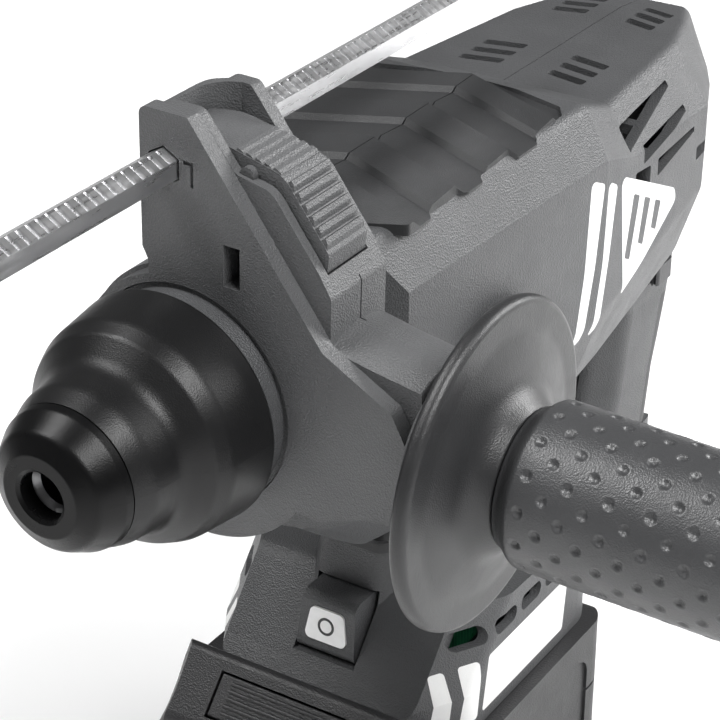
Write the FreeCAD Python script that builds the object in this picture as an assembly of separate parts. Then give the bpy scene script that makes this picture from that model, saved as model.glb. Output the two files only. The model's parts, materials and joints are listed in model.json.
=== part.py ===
import FreeCAD, Part
import math
import os

# A cordless rotary hammer with a closed rear handle, a side handle with a depth
# stop, and a slide-on battery.
#
# The parts are drawn about the tool axis: Y runs back from the nose, Z is the height
# over the tool axis and +X is the side that the side handle points to. save() moves
# every part into the row frame, whose origin is the middle of the battery's underside.

# ---------------------------------------------------------------- driving dimensions
AXIS_HEIGHT = 172.0      # tool axis over the battery's underside
BATTERY_MID = 132.0      # nose to the battery's middle, along the tool
CLEAR = 0.3              # running gap between curved faces of different bodies

SHANK_R = 5.0            # tool shank bore
CAP_R = 16.8             # dust cap where it meets the sleeve
HOLDER_R = 13.0          # tool holder inside the sleeve
SPINDLE_R = 16.0         # tool holder where it is the striker's cylinder
CYLINDER_R = 12.6        # bore that the piston and the striker run in
COLLAR_R = 26.5          # gear case collar that carries the side handle

SHELL_W = 39.7           # half width of the housing
NOSE_W = 35.4            # half width of the housing at its front
PLATE_W = 38.0           # half width of the housing at the middle plate
CHEEK_SLOPE = 0.82       # widening of the front chamfers per mm backwards
CHEEK_INSET = 1.29       # sideways shift of a chamfer per mm of wall
SHELL_WALL = 2.6
SHELL_FRONT = 80.0
SHELL_BACK = 277.5
TOP_Z = 33.5             # top of the soft pads
PAD_FLOOR = 31.3         # underside of the soft pads
FLOOR_Z = -60.0          # underside of the housing below the gears
SWEEP_R = 47.0           # the side handle's neck turns outside this radius

SHAFT_Z = -31.0          # intermediate shaft
MOTOR_Z = -3.0           # motor shaft
MODULE = 1.0
SPINDLE_TEETH = 49
SHAFT_TEETH = 13
WHEEL_TEETH = 47
MOTOR_TEETH = 9
WOBBLE_Y = 158.0         # middle of the wobble ring

HANDLE_Y = 62.7          # side handle axis behind the nose
HANDLE_TILT = 1.5        # degrees that the side handle hangs below the horizontal
FLANGE_R = 37.0
FLANGE_X = 70.4          # outer rim of the flange, from the tool axis
GRIP_R = 18.6
GRIP_END = 188.0

ROD_X = -4.8             # depth rod
ROD_Z = 53.7
ROD_FLATS = 7.2
ROD_FRONT = -60.0
ROD_BACK = 182.0
ROD_PITCH = 3.0

BASE_TOP = -86.0
BASE_BOTTOM = -119.0
BASE_W = 38.0
BATTERY_FRONT = 80.0
BATTERY_BACK = 184.0
BATTERY_W = 42.0
BATTERY_BOTTOM = -AXIS_HEIGHT

PACK_TOP = -119.3        # top of the pack under the foot

KNOB_Y = 122.0           # mode selector
KNOB_Z = -13.0
KNOB_THROW = 4.5

COVER_FRONT = 50.0       # side-handle clamp, front to back
COVER_BACK = 54.2
NECK_END = 57.0
LEVER_FRONT = 57.0
LEVER_BACK = 71.6
CLAMP_BACK = 75.6
PIVOT_X = 12.5           # release lever's pivot
PIVOT_Z = 54.0

X = FreeCAD.Vector(1, 0, 0)
Y = FreeCAD.Vector(0, 1, 0)
Z = FreeCAD.Vector(0, 0, 1)
ORIGIN = FreeCAD.Vector(0, 0, 0)


# ---------------------------------------------------------------- drawing helpers
def point(x, y, z):
    return FreeCAD.Vector(x, y, z)


def across(y):
    """Plane across the tool at y: a is X, b is Z."""
    return lambda a, b: point(a, y, b)


def beside(x):
    """Upright plane along the tool at x: a is Y, b is Z."""
    return lambda a, b: point(x, a, b)


def level(z):
    """Level plane at z: a is X, b is Y."""
    return lambda a, b: point(a, b, z)


def rounded_wire(corners, place):
    """Closed outline through (a, b, radius) corners, with a tangent arc at each one."""
    ends = []
    count = len(corners)
    for i, (a, b, radius) in enumerate(corners):
        here = point(a, b, 0)
        before = point(corners[i - 1][0], corners[i - 1][1], 0) - here
        after = point(corners[(i + 1) % count][0], corners[(i + 1) % count][1], 0) - here
        before.normalize()
        after.normalize()
        if radius == 0:
            ends.append((here, here, here))
            continue
        half = before.getAngle(after) / 2
        cut = radius / math.tan(half)
        middle = (before + after).normalize()
        mid = here + middle * (radius / math.sin(half) - radius)
        ends.append((here + before * cut, mid, here + after * cut))
    edges = []
    for i, (start, mid, end) in enumerate(ends):
        follow = ends[(i + 1) % count][0]
        if (end - start).Length > 1e-6:
            arc = Part.Arc(place(start.x, start.y), place(mid.x, mid.y), place(end.x, end.y))
            edges.append(arc.toShape())
        if (follow - end).Length > 1e-6:
            edges.append(Part.makeLine(place(end.x, end.y), place(follow.x, follow.y)))
    return Part.Wire(edges)


def prism(corners, place, sweep):
    return Part.Face(rounded_wire(corners, place)).extrude(sweep)


def plain(points, radius=0):
    return [(a, b, radius) for a, b in points]


def block(x0, x1, y0, y1, z0, z1, radius=0):
    """Box with rounded upright edges."""
    corners = plain([(x0, y0), (x1, y0), (x1, y1), (x0, y1)], radius)
    return prism(corners, level(z0), Z * (z1 - z0))


def mirrored(corners):
    """Right-half (x, z, r) corners, from the top down, closed with their mirror image."""
    return corners + [(-a, b, r) for a, b, r in reversed(corners)]


def inset(corners, depth):
    """The outline moved inwards by depth, with its radii reduced to match."""
    count = len(corners)
    area = sum(corners[i - 1][0] * corners[i][1] - corners[i][0] * corners[i - 1][1]
               for i in range(count))
    turn = 1 if area > 0 else -1
    result = []
    for i in range(count):
        here = point(*corners[i][:2], 0)
        before = (here - point(*corners[i - 1][:2], 0)).normalize()
        after = (point(*corners[(i + 1) % count][:2], 0) - here).normalize()
        normal_1 = point(-before.y, before.x, 0) * turn
        normal_2 = point(-after.y, after.x, 0) * turn
        shift = (normal_1 + normal_2) * (depth / (1 + normal_1.dot(normal_2)))
        moved = here + shift
        result.append((moved.x, moved.y, max(corners[i][2] - depth, 0.4)))
    return result


def loft(wires):
    return Part.makeLoft(wires, True, True)


def rod_y(radius, y0, y1, x=0.0, z=0.0):
    return Part.makeCylinder(radius, y1 - y0, point(x, y0, z), Y)


def tube_y(outer, inner, y0, y1, x=0.0, z=0.0):
    return rod_y(outer, y0, y1, x, z).cut(rod_y(inner, y0 - 1, y1 + 1, x, z))


def rod_x(radius, x0, x1, y, z):
    return Part.makeCylinder(radius, x1 - x0, point(x0, y, z), X)


def turned(profile, z=0.0):
    """Solid turned about the Y line at height z, from (radius, y[, corner radius])."""
    corners = [(p[0], p[1], p[2] if len(p) > 2 else 0) for p in profile]
    wire = rounded_wire(corners, lambda a, b: point(a, b, z))
    return Part.Face(wire).revolve(point(0, 0, z), Y, 360)


def turned_x(profile, y=HANDLE_Y, z=0.0):
    """Solid turned about the X line at (y, z), from (x, radius[, corner radius])."""
    corners = [(p[0], p[1], p[2] if len(p) > 2 else 0) for p in profile]
    wire = rounded_wire(corners, lambda a, b: point(a, y, z + b))
    return Part.Face(wire).revolve(point(0, y, z), X, 360)


def fused(shapes):
    first = shapes[0]
    return first.fuse(shapes[1:]).removeSplitter() if len(shapes) > 1 else first


def both_sides(shape):
    return [shape, shape.mirror(ORIGIN, X)]


def coil_y(radius, wire_r, y0, y1, turns, z=0.0):
    """Helical spring about the Y line at height z."""
    pitch = (y1 - y0 - 2 * wire_r) / turns
    path = Part.makeHelix(pitch, pitch * turns, radius)
    ring = Part.Wire(Part.makeCircle(wire_r, point(radius, 0, 0), Y))
    spring = Part.Wire(path).makePipeShell([ring], True, True)
    spring.rotate(ORIGIN, X, -90)
    spring.translate(point(0, y0 + wire_r, z))
    return spring


def involute_gear(teeth, width, y0, z, phase=0.0, bore=0.0):
    """Spur gear on the Y line at height z; phase is in tooth pitches."""
    pitch_r = MODULE * teeth / 2
    base_r = pitch_r * math.cos(math.radians(20))
    tip_r = pitch_r + 0.85 * MODULE
    root_r = pitch_r - 1.15 * MODULE
    roll = math.tan(math.radians(20)) - math.radians(20)
    half_tooth = 0.42 * math.pi / teeth

    def flank(radius):
        if radius <= base_r:
            return half_tooth + roll
        angle = math.acos(base_r / radius)
        return half_tooth + roll - (math.tan(angle) - angle)

    radii = [root_r, max(base_r, root_r + 0.05), pitch_r, tip_r]
    points = []
    for tooth in range(teeth):
        centre = 2 * math.pi * (tooth + phase) / teeth
        side = [(r, centre - flank(r)) for r in radii]
        side += [(r, centre + flank(r)) for r in reversed(radii)]
        points += [point(r * math.sin(a), y0, z + r * math.cos(a)) for r, a in side]
    wire = Part.makePolygon(points + [points[0]])
    gear = Part.Face(wire).extrude(Y * width)
    if bore:
        gear = gear.cut(rod_y(bore, y0 - 1, y0 + width + 1, 0, z))
    return gear


def ball_bearing(inner, outer, y0, y1, z=0.0, balls=9):
    """Two races and their balls, as separate solids."""
    band = (outer - inner) / 3
    middle = (outer + inner) / 2
    ball_r = band * 0.72
    track = Part.makeTorus(middle, ball_r + 0.05, point(0, (y0 + y1) / 2, z), Y)
    races = [tube_y(inner + band, inner, y0, y1, 0, z).cut(track)]
    races.append(tube_y(outer, outer - band, y0, y1, 0, z).cut(track))
    for i in range(balls):
        angle = 2 * math.pi * i / balls
        centre = point(middle * math.sin(angle), (y0 + y1) / 2, z + middle * math.cos(angle))
        races.append(Part.makeSphere(ball_r, centre))
    return races


def save(name, shapes, tilt=False):
    """Writes one node. Side-handle parts are tilted about the tool axis first."""
    if not isinstance(shapes, (list, tuple)):
        shapes = [shapes]
    solids = [solid for shape in shapes for solid in shape.Solids]
    for solid in solids:
        if tilt:
            solid.rotate(ORIGIN, Y, HANDLE_TILT)
        solid.translate(point(0, -BATTERY_MID, AXIS_HEIGHT))
    whole = solids[0] if len(solids) == 1 else Part.makeCompound(solids)
    whole.exportStep("parts/" + name + ".step")


# ---------------------------------------------------------------- tool holder
def dust_cap():
    body = turned([(5.6, 0.6), (6.4, 0.0), (9.5, 0.0, 1.0), (13.6, 2.2, 3.0), (16.4, 7.5, 2.0),
                   (CAP_R, 9.3), (14.6, 9.3), (14.6, 12.0), (13.35, 12.0), (13.35, 9.4),
                   (11.3, 9.4), (11.3, 4.4), (5.6, 4.4)])
    save("dust_cap", body)


def tool_holder():
    body = turned([(6.4, 5.0), (10.9, 5.0), (10.9, 9.6), (HOLDER_R, 9.8), (HOLDER_R, 45.0),
                   (14.4, 45.4), (14.4, 58.0), (SPINDLE_R, 58.4), (SPINDLE_R, 147.0),
                   (CYLINDER_R, 147.0), (CYLINDER_R, 93.0), (8.4, 92.0), (8.4, 58.0),
                   (5.4, 57.0), (5.4, 20.0), (SHANK_R, 20.0), (SHANK_R, 6.4)])
    for side in (1, -1):
        slot = prism(plain([(-3.7, 22.0), (3.7, 22.0), (3.7, 30.0), (-3.7, 30.0)], 3.6),
                     level(0), Z * 20)
        slot = slot.cut(block(-5, 5, 20, 32, -1, 5.0))
        if side < 0:
            slot.rotate(ORIGIN, Y, 180)
        body = body.cut(slot)
        rib = block(4.0, 5.6, 31, 54, -1.2, 1.2)
        if side < 0:
            rib.rotate(ORIGIN, Y, 180)
        body = body.fuse(rib)
    save("tool_holder", body.removeSplitter())


def locking_balls():
    balls = [Part.makeSphere(3.4, point(0, 26.0, side * 8.75)) for side in (1, -1)]
    save("locking_balls", balls)


def locking_sleeve():
    outer = [(CAP_R, 9.7), (18.6, 14.5, 8.0), (19.6, 22.5, 6.0), (24.6, 27.2, 2.6),
             (26.3, 31.0, 5.0), (27.9, 44.0, 0.8)]
    inner = [(26.3, 44.0), (25.0, 32.5, 1.0), (20.4, 30.0, 1.0), (16.2, 30.0), (16.2, 13.0),
             (15.0, 12.4), (15.0, 9.7)]
    save("locking_sleeve", turned(outer + inner))


def ball_ring():
    save("ball_ring", turned([(HOLDER_R + CLEAR, 14.0), (15.8, 14.0), (15.8, 29.6),
                              (HOLDER_R + CLEAR, 29.6)]))


def sleeve_spring():
    save("sleeve_spring", coil_y(14.9, 0.9, 37.2, 44.8, 3))


def spindle_gear():
    gear = involute_gear(SPINDLE_TEETH, 12.0, 113.0, 0.0, 0.0, SPINDLE_R + 0.05)
    save("spindle_gear", gear)


def clutch_spring():
    save("clutch_spring", coil_y(18.4, 1.4, 96.5, 112.6, 4))


def impact_bolt():
    body = turned([(0, 51.0), (3.7, 51.0), (3.7, 66.0), (8.0, 66.6), (8.0, 74.0), (6.6, 74.6),
                   (6.6, 89.0), (5.8, 90.0), (0, 90.0)])
    save("impact_bolt", body)


def striker():
    body = turned([(0, 95.0), (5.4, 95.0), (6.0, 96.0), (6.0, 99.0), (12.3, 99.6), (12.3, 106.0),
                   (11.0, 106.0), (11.0, 109.0), (12.3, 109.0), (12.3, 118.0), (0, 118.0)])
    ring = turned([(11.05, 106.3), (12.4, 106.3), (12.4, 108.7), (11.05, 108.7)])
    save("striker", body)
    save("striker_ring", ring)


def piston():
    head = turned([(0, 130.0), (12.3, 130.0), (12.3, 133.0), (11.0, 133.0), (11.0, 136.0),
                   (12.3, 136.0), (12.3, 146.0), (0, 146.0)])
    ears = [block(side * 8.4 - 2, side * 8.4 + 2, 145, 166, -8, 8) for side in (1, -1)]
    fork = fused([head] + [ear.common(rod_y(12.2, 140, 170)) for ear in ears])
    fork = fork.cut(rod_x(5.1, -12, 12, WOBBLE_Y, 0))
    save("piston", fork)
    save("piston_ring", turned([(11.05, 133.3), (12.4, 133.3), (12.4, 135.7), (11.05, 135.7)]))


# ---------------------------------------------------------------- gears, shafts and motor
def wobble_ring():
    ring = tube_y(14.5, 11.9, WOBBLE_Y - 5, WOBBLE_Y + 5, 0, SHAFT_Z)
    finger = Part.makeCylinder(2.8, 29.0 - 13.0, point(0, WOBBLE_Y, SHAFT_Z + 13.0), Z)
    pin = rod_x(4.0, -10.2, 10.2, WOBBLE_Y, 0)
    save("wobble_ring", fused([ring, finger, pin]))


def intermediate_shaft():
    shaft = fused([rod_y(4.0, 95.0, 112.0, 0, SHAFT_Z), rod_y(5.0, 111.5, 176.0, 0, SHAFT_Z),
                   rod_y(4.0, 175.5, 193.0, 0, SHAFT_Z)])
    hub = Part.makeSphere(11.4, point(0, WOBBLE_Y, SHAFT_Z))
    hub = hub.common(rod_y(12, WOBBLE_Y - 7, WOBBLE_Y + 7, 0, SHAFT_Z))
    pinion = involute_gear(SHAFT_TEETH, 13.0, 112.5, SHAFT_Z)
    save("intermediate_shaft", fused([shaft, hub, pinion]))


def intermediate_gear():
    wheel = involute_gear(WHEEL_TEETH, 9.0, 176.3, SHAFT_Z, 0.5, 4.05)
    holes = [rod_y(4.5, 170, 190, 14.5 * math.cos(a), SHAFT_Z + 14.5 * math.sin(a))
             for a in (math.radians(30 + 60 * i) for i in range(6))]
    save("intermediate_gear", wheel.cut(Part.makeCompound(holes)))


def motor_shaft():
    pinion = involute_gear(MOTOR_TEETH, 10.4, 175.6, MOTOR_Z, 0.5)
    shaft = fused([rod_y(3.0, 175.6, 264.0, 0, MOTOR_Z), pinion])
    save("motor_shaft", shaft)


def rotor():
    core = tube_y(12.5, 3.05, 197.0, 237.0, 0, MOTOR_Z)
    save("rotor", core)


def fan():
    hub = tube_y(7.0, 3.05, 242.0, 251.0, 0, MOTOR_Z)
    plate = tube_y(22.4, 6.5, 249.4, 251.0, 0, MOTOR_Z)
    blades = []
    for i in range(13):
        blade = block(-0.7, 0.7, 242.6, 250.0, 6.6, 22.0)
        blade.rotate(point(0, 0, 6.6), Z, 0)
        blade.rotate(ORIGIN, Y, 360.0 * i / 13)
        blade.translate(Z * MOTOR_Z)
        blades.append(blade)
    save("fan", fused([hub, plate] + blades))


def stator():
    core = tube_y(24.4, 20.4, 198.0, 236.0, 0, MOTOR_Z)
    teeth = []
    coils = []
    for i in range(6):
        tooth = block(-2.6, 2.6, 198, 236, 14.5, 21.0)
        shoe = tube_y(15.6, 12.9, 198, 236).common(block(-5.4, 5.4, 197, 237, 10, 17))
        coil = block(-5.0, 5.0, 194.6, 239.4, 15.8, 19.3, 1.5)
        coil = coil.cut(block(-2.7, 2.7, 197.9, 236.1, 15, 21))
        for shape, group in ((tooth.fuse(shoe), teeth), (coil, coils)):
            shape.rotate(ORIGIN, Y, 60.0 * i)
            shape.translate(Z * MOTOR_Z)
            group.append(shape)
    save("stator_core", fused([core] + teeth))
    save("stator_coils", coils)


def bearings():
    save("spindle_bearing", ball_bearing(SPINDLE_R + 0.03, 22.0, 62.0, 74.0, 0, 13))
    save("oil_seal", turned([(14.45, 50.0), (19.5, 50.0), (19.5, 56.0), (18.0, 56.0),
                             (18.0, 51.5), (15.6, 51.5), (14.45, 54.5)]))
    save("spindle_bush", tube_y(19.0, SPINDLE_R + 0.03, 137.0, 146.0))
    small = ball_bearing(4.03, 9.0, 96.0, 102.0, SHAFT_Z, 7)
    small += ball_bearing(4.03, 9.0, 187.5, 192.5, SHAFT_Z, 7)
    save("shaft_bearings", small)
    motor = ball_bearing(3.03, 9.0, 188.0, 193.0, MOTOR_Z, 7)
    motor += ball_bearing(3.03, 9.0, 256.5, 262.5, MOTOR_Z, 7)
    save("motor_bearings", motor)


# ---------------------------------------------------------------- gear case and plates
def section(half_width, top, crease, belly, floor, shoulder):
    """Cross-section of the housing, as right-half corners mirrored to the left."""
    return mirrored([(shoulder, top, 3.5), (half_width, crease, 1.2), (half_width, belly, 9.0),
                     (half_width * 0.80, (belly + floor) / 2 - 5.0, 9.0),
                     (half_width * 0.42, floor, 9.0)])


def front_section(half_width):
    shoulder = half_width - SHELL_W + 33.0
    return section(half_width, TOP_Z - 0.4, 19.9, -24.0, FLOOR_Z, shoulder)


def gear_case():
    collar = turned([(0, 46.0), (COLLAR_R - 1.1, 46.0), (COLLAR_R - 1.1, 50.6), (COLLAR_R, 50.6),
                     (COLLAR_R, 79.0), (0, 79.0)])
    lip = prism(inset(front_section(NOSE_W), 1.4), across(76.6), Y * (SHELL_FRONT - 0.1 - 76.6))
    spigot = prism(inset(front_section(NOSE_W), SHELL_WALL + 0.4), across(79.0), Y * 25.0)
    hollow = prism(inset(front_section(NOSE_W), SHELL_WALL + 3.6), across(80.0), Y * 30.0)
    hollow = hollow.cut(cheeks(SHELL_WALL + 3.6))
    body = fused([collar, lip, spigot.cut(hollow)])
    room = turned([(0, 40.0), (SWEEP_R - 0.6, 40.0), (SWEEP_R - 0.6, 79.95), (SWEEP_R - 3.4, 80.0),
                   (SWEEP_R - 3.4, 84.4), (61.0, 101.5), (90.0, 106.0), (0, 106.0)])
    body = body.common(room).cut(cheeks(SHELL_WALL + 0.4))
    bores = turned([(0, 45.0), (15.2, 45.0), (15.2, 49.6), (19.55, 49.6), (19.55, 57.0),
                    (18.5, 57.0), (18.5, 61.6), (22.05, 61.6), (22.05, 81.0), (0, 81.0)])
    body = body.cut(bores)
    web = prism(plain([(-13, -44), (13, -44), (13, -21.6), (-13, -21.6)], 4),
                across(95.6), Y * 8.0)
    foot = prism(plain([(-10, -54.6), (10, -54.6), (10, -40), (-10, -40)]), across(95.6), Y * 8.0)
    body = fused([body, web.fuse(foot).common(Part.makeCompound([spigot]))])
    body = body.cut(rod_y(9.05, 94.0, 110.0, 0, SHAFT_Z))
    bolts = screw_places()
    for x, z in bolts:
        body = body.cut(rod_y(2.3, 75.0, 90.0, x, z))
        body = body.cut(rod_y(4.2, 74.0, 77.8, x, z))
    save("gear_case", body)


def screw_places():
    return [(22.5, 26.0), (-22.5, 26.0), (22.5, -29.0), (-22.5, -29.0)]


def cap_screw(radius, head_r, head_h, length):
    """Socket-head screw that points along +Y, with the top of its head at y = 0."""
    head = rod_y(head_r, 0, head_h)
    hexagon = [(head_r * 0.5 * math.cos(math.radians(60 * i)),
                head_r * 0.5 * math.sin(math.radians(60 * i)), 0) for i in range(6)]
    head = head.cut(prism(hexagon, across(-0.5), Y * (head_h * 0.6 + 0.5)))
    return head.fuse(rod_y(radius, head_h - 0.1, length)).removeSplitter()


def gear_case_screws():
    screws = []
    for x, z in screw_places():
        screw = cap_screw(2.1, 4.0, 1.6, 11.0)
        screw.translate(point(x, 76.2, z))
        screws.append(screw)
    save("gear_case_screws", screws)


def bearing_plates():
    middle = prism(inset(front_section(PLATE_W), SHELL_WALL + 0.5), across(137.0), Y * 5.0)
    middle = middle.cut(rod_y(19.05, 136, 143))
    middle = middle.cut(rod_y(7.0, 136, 143, 0, SHAFT_Z))
    save("middle_plate", middle)
    corners = mirrored([(20.0, 20.0, 4.0), (28.0, 8.0, 4.0), (28.0, -20.0, 4.0),
                        (17.0, -43.5, 5.0)])
    rear = prism(corners, across(188.0), Y * 4.0)
    rear = rear.cut(rod_y(9.05, 187, 193, 0, MOTOR_Z))
    rear = rear.cut(rod_y(9.05, 187, 193, 0, SHAFT_Z))
    save("rear_plate", rear)


# ---------------------------------------------------------------- housing
def cheeks(depth=0.0):
    """What the chamfers at both front corners of the housing take away, seen from above."""
    x0 = 31.4 - CHEEK_INSET * depth
    slope_end = 79.5 + (46.0 - x0) / CHEEK_SLOPE
    wedge = prism([(x0, 60.0, 0), (x0, 79.5, 0), (46.0, slope_end, 0), (46.0, 60.0, 0)],
                  level(-70), Z * 110)
    return Part.makeCompound(both_sides(wedge))


def nose_relief():
    """Space that the front of the housing leaves for the turning side handle."""
    return turned([(0, 60.0), (SWEEP_R, 60.0), (SWEEP_R, 83.5), (66.0, 101.0), (90.0, 101.0),
                   (90.0, 300.0), (0, 300.0)])


def barrel(depth=0.0):
    """The housing over the gears and the motor; a positive depth gives its inside."""
    stations = [
        (SHELL_FRONT, NOSE_W, TOP_Z - 0.4, 19.9, -24.0, FLOOR_Z, 28.7),
        (172.0, SHELL_W, TOP_Z - 0.4, 19.9, -24.0, FLOOR_Z, 33.0),
        (190.0, 38.6, 26.6, 14.0, -21.0, FLOOR_Z + 1.0, 30.5),
        (240.0, 35.6, 26.2, 10.0, -14.0, -49.0, 25.0),
        (257.0, 28.5, 26.0, 9.0, -11.0, -45.0, 20.0),
        (270.0, 21.8, 24.6, 8.0, -10.0, -42.0, 14.5),
        (SHELL_BACK, 16.5, 20.0, 5.0, -9.0, -38.0, 10.0)]
    wires = []
    for i, (y, *sizes) in enumerate(stations):
        place = y
        if depth and i == 0:
            place = y - 1.0
        if depth and i == len(stations) - 1:
            place = y - depth
        corners = section(*sizes)
        wires.append(rounded_wire(inset(corners, depth) if depth else corners, across(place)))
    shape = loft(wires)
    if depth:
        limit = turned([(0, 60.0), (SWEEP_R - depth, 60.0), (SWEEP_R - depth, 84.6),
                        (66.0 - depth, 101.6), (90.0, 104.0), (90.0, 300.0), (0, 300.0)])
        return shape.common(limit).cut(cheeks(depth))
    return shape.common(nose_relief()).cut(cheeks())


def side_profile(corners, half_width):
    return prism(corners, beside(-half_width), X * (2 * half_width))


def base_block(depth=0.0):
    """The foot of the housing over the battery, with a sloped front and side walls."""
    side = [(97.0, -109.0, 2.0), (101.5, -105.0, 3.0), (118.0, BASE_TOP, 7.0), (166.0, BASE_TOP - 2, 8.0),
            (196.0, -101.0, 20.0), (262.0, -101.0, 4.0), (258.0, -116.0, 6.0),
            (200.0, -111.0, 6.0), (188.0, BASE_BOTTOM, 3.0), (97.0, BASE_BOTTOM, 1.0)]
    wires = []
    for z, nose, corner in ((-130.0, 27.0, 112.0), (-107.0, 27.0, 114.0), (-80.0, 14.0, 138.0)):
        plan = mirrored([(nose, 96.0, 4.0), (BASE_W, corner, 10.0), (BASE_W, 176.0, 14.0),
                         (19.0, 205.0, 16.0), (17.0, 264.0, 10.0)])
        wires.append(rounded_wire(inset(plan, depth) if depth else plan, level(z)))
    if depth:
        side = inset(side, depth)
    return side_profile(side, 60).common(loft(wires))


def rear_grip(depth=0.0):
    """Pistol grip from the motor housing down to the foot."""
    wires = []
    for z, front, back, half in ((-20.0, 226.0, 266.0, 16.5), (-46.0, 226.0, 279.0, 17.0),
                                 (-60.0, 232.0, 278.0, 16.0), (-84.0, 226.0, 268.5, 16.5),
                                 (-108.0, 214.0, 262.0, 17.5)):
        corners = mirrored([(half * 0.55, front, 6.0), (half, front + 9, 8.0),
                            (half, back - 10, 8.0), (half * 0.5, back, 6.0)])
        wires.append(rounded_wire(inset(corners, depth) if depth else corners, level(z)))
    return loft(wires)


def front_column(depth=0.0):
    """Post between the foot and the boot under the gear case."""
    wires = []
    for z, front, back, half in ((-76.0, 117.0, 146.0, 14.0), (-90.0, 114.0, 149.0, 17.0)):
        corners = mirrored([(half * 0.6, front, 6.0), (half, front + 10, 8.0),
                            (half, back - 8, 6.0), (half * 0.6, back, 5.0)])
        wires.append(rounded_wire(inset(corners, depth) if depth else corners, level(z)))
    return loft(wires)


def vent_cutters():
    """Slots over the motor: two groups on top and louvres on the sides."""
    cutters = []
    for y, count, x0, x1, pitch in ((200.0, 3, 7.0, 18.5, 6.4), (246.5, 3, 6.0, 15.5, 5.8)):
        for i in range(count):
            y0 = y + pitch * i
            slot = [(x0, y0, 0.8), (x1, y0 - 2.6, 0.8), (x1, y0 + 0.9, 0.8), (x0, y0 + 3.5, 0.8)]
            cutters += both_sides(prism(slot, level(14.0), Z * 20))
    for y0, y1, z0, z1 in ((188.0, 224.0, 15.6, 21.6), (196.0, 227.0, 9.6, 14.6),
                           (206.0, 231.0, 2.4, 7.4), (234.0, 256.0, -4.0, 0.0)):
        scoop = [(y0, z0, 0.6), (y1, z1 - 1.6, 0.5), (y1, z1, 0.5), (y0, z1, 0.6)]
        cutters += both_sides(prism(scoop, beside(22.0), X * 24))
    cutters += both_sides(prism(plain([(191, 3), (201, 1.5), (201, 7.5), (191, 9)], 0.8),
                                beside(30.0), X * 15))
    return cutters


def base_vents():
    cutters = []
    for i in range(4):
        y0 = 113.0 + 13.0 * i
        slot = plain([(y0, -96.0), (y0 + 10.5, -96.0), (y0 + 10.5, -91.2), (y0, -91.2)], 2.2)
        cutters += both_sides(prism(slot, beside(30.0), X * 15))
    return cutters


def side_stripe(y_top, z_top, width):
    """One swept stripe of the side inlay, as (y, z, r) corners."""
    return [(y_top, z_top, 1.5), (y_top + width, z_top - 3.0, 1.5),
            (y_top + width - 3.0, -8.0, 30.0), (y_top + width - 7.5, -27.0, 1.0),
            (y_top - 5.5, -28.5, 1.0), (y_top - 1.5, -8.0, 30.0)]


def side_panel_outline():
    return [(181.5, 12.0, 2.0), (219.0, -6.0, 2.5), (221.0, -10.0, 2.0), (187.0, -24.5, 1.5)]


def side_inlays(depth):
    """White inlays of one side; depth is how far they reach into the wall."""
    x0 = 30.0
    pieces = [prism(side_stripe(164.5, 17.0, 6.6), beside(x0), X * 20),
              prism(side_stripe(173.6, 13.6, 5.4), beside(x0), X * 20)]
    panel = prism(side_panel_outline(), beside(x0), X * 20)
    for i in range(3):
        y0 = 190.5 + 7.6 * i
        z0 = 3.6 - 3.8 * i
        slot = [(y0, z0, 0.6), (y0 + 4.0, z0 - 2.0, 0.6), (y0 - 0.6 + i, z0 - 18.5 + 4.6 * i, 0.6),
                (y0 - 4.0 + i, z0 - 16.6 + 4.6 * i, 0.6)]
        panel = panel.cut(prism(slot, beside(x0 - 1), X * 22))
    pieces.append(panel)
    skin = barrel().cut(barrel(depth))
    return [piece.common(skin) for piece in pieces]


def grip_strip():
    return side_profile([(267.0, -38.0, 2.0), (272.5, -38.0, 2.0), (271.5, -60.0, 30.0),
                         (257.5, -106.0, 2.0), (252.5, -106.0, 2.0), (266.0, -60.0, 30.0)], 30)


def grip_inlay():
    strip = grip_strip()
    skin = rear_grip().cut(rear_grip(1.2))
    return strip.common(skin)


def base_inlays():
    blocks = [(103.0, 108.0), (110.5, 117.0), (119.5, 163.0)]
    pieces = []
    for y0, y1 in blocks:
        corners = [(y0 + 3.0, -99.5, 1.0), (y1 + 2.0, -99.5, 1.0), (y1, -115.5, 1.0),
                   (y0, -115.5, 1.0)]
        pieces.append(prism(corners, beside(20.0), X * 30))
    skin = base_block().cut(base_block(1.2))
    return [piece.common(skin) for piece in pieces]


def pad_outline():
    """Plan of one soft pad, with a stepped outer border."""
    return [(0, 84.0, 0), (22.0, 84.0, 2.0), (33.0, 88.5, 1.5), (33.0, 98.0, 1.0),
            (31.0, 100.5, 1.0), (31.0, 112.5, 1.0), (33.0, 114.5, 1.0), (33.0, 121.0, 1.0),
            (31.0, 123.5, 1.0), (31.0, 136.0, 1.0), (33.0, 138.0, 1.0), (33.0, 147.0, 1.0),
            (31.0, 149.5, 1.0), (31.0, 163.0, 1.0), (28.0, 167.5, 1.5), (0, 176.0, 0)]


def pad_seam():
    """Gap between the two pads, which jogs sideways at every bar."""
    jogs = [(-0.9, 80.0), (1.0, 105.0), (-1.0, 110.0), (1.0, 126.0), (-1.0, 131.5), (1.0, 151.0),
            (-1.0, 156.5), (1.0, 177.0)]
    near = [(x - 0.2, y, 0) for x, y in jogs]
    far = [(x + 0.2, y, 0) for x, y in reversed(jogs)]
    return prism(near + far, level(PAD_FLOOR - 1), Z * 10)


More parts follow.
